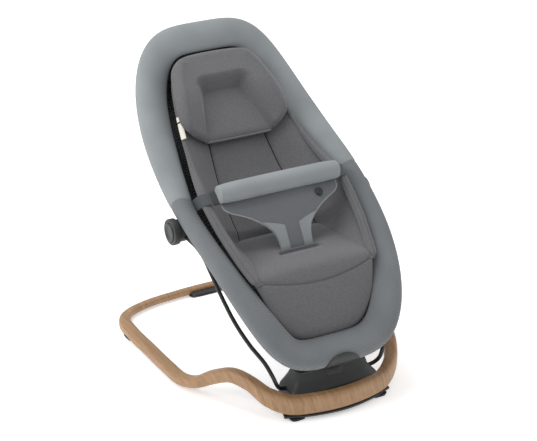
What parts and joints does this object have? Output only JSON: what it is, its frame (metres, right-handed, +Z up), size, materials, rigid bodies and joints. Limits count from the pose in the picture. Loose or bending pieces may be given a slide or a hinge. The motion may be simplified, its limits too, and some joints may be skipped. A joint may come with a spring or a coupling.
{
  "type": "bouncer seat",
  "caption": "Baby bouncer: an oval padded seat with a tummy harness, hung on a bent spring rod over a bent wooden floor loop, folding and reclining.",
  "frame": {"origin": "on the floor, under the middle of the whole bouncer", "axes": "+X to the right as seen from the foot end, +Y from the foot end to the head end, +Z up"},
  "size_m": [0.4806, 0.602, 0.6109],
  "materials": {
    "oak_laminate": "clear satin lacquer over straight-grained laminate",
    "steel": "plain zinc plated",
    "dark_plastic": "fine grained, matte",
    "black_steel": "black powder coat",
    "rubber": "matte",
    "light_knit": "smooth knitted cover",
    "ribbed_knit": "fine horizontal ribs",
    "pad_cloth": "soft melange cloth",
    "air_mesh": "open air mesh",
    "webbing": "woven strap",
    "label_cloth": "plain satin tape"
  },
  "bodies": {
    "base": {"front_rail": "oak_laminate", "rear_rail": "oak_laminate", "rail_tongue_left": "steel", "rail_tongue_right": "steel", "front_sole": "dark_plastic", "front_foot_left": "rubber", "front_foot_right": "rubber", "rear_foot_left": "rubber", "rear_foot_right": "rubber", "rear_pad": "dark_plastic", "pedestal_shell": "dark_plastic", "pedestal_base": "dark_plastic", "bearing_cap_left": "dark_plastic", "bearing_cap_right": "dark_plastic"},
    "latch": {"fold_latch": "dark_plastic", "latch_spring": "steel"},
    "spring_stand": {"spring_rod": "black_steel", "rod_carrier": "steel", "rod_eye_left": "dark_plastic", "rod_eye_right": "dark_plastic"},
    "button_left": {"hub_button_left": "dark_plastic", "button_spring_left": "steel"},
    "button_right": {"hub_button_right": "dark_plastic", "button_spring_right": "steel"},
    "seat": {"rim_tube": "steel", "hub_axle_left": "steel", "hub_axle_right": "steel", "front_badge": "dark_plastic", "front_bracket": "dark_plastic", "panel_stud": "dark_plastic", "hub_case_left": "dark_plastic", "hub_case_right": "dark_plastic", "seat_bracket_left": "dark_plastic", "seat_bracket_right": "dark_plastic", "buckle_left": "dark_plastic", "buckle_right": "dark_plastic", "upper_sleeve": "light_knit", "tummy_roll": "light_knit", "crotch_strap": "light_knit", "lower_sleeve": "ribbed_knit", "restraint_panel": "ribbed_knit", "back_pad": "pad_cloth", "seat_pad": "pad_cloth", "headrest": "pad_cloth", "side_wing_left": "pad_cloth", "side_wing_right": "pad_cloth", "sling": "air_mesh", "side_strap_left": "webbing", "side_strap_right": "webbing", "care_label": "label_cloth"}
  },
  "joints": [
    {"name": "stand_fold", "type": "hinge", "parent": "base", "child": "spring_stand", "pos_m": [0, -0.2314, 0.047], "axis": [1, 0, 0], "range_deg": [-38, 0]},
    {"name": "recline", "type": "hinge", "parent": "spring_stand", "child": "seat", "pos_m": [0, -0.00563, 0.30833], "axis": [1, 0, 0], "range_deg": [-16, 0]},
    {"name": "latch_press", "type": "slide", "parent": "base", "child": "latch", "axis": [0, 0.9205, -0.3907], "range_m": [0, 0.003], "stiffness_N_per_m": 600, "springref_m": -0.002},
    {"name": "button_left_press", "type": "slide", "parent": "seat", "child": "button_left", "axis": [1, 0, 0], "range_m": [0, 0.002], "stiffness_N_per_m": 600, "springref_m": -0.002},
    {"name": "button_right_press", "type": "slide", "parent": "seat", "child": "button_right", "axis": [-1, 0, 0], "range_m": [0, 0.002], "stiffness_N_per_m": 600, "springref_m": -0.002}
  ]
}
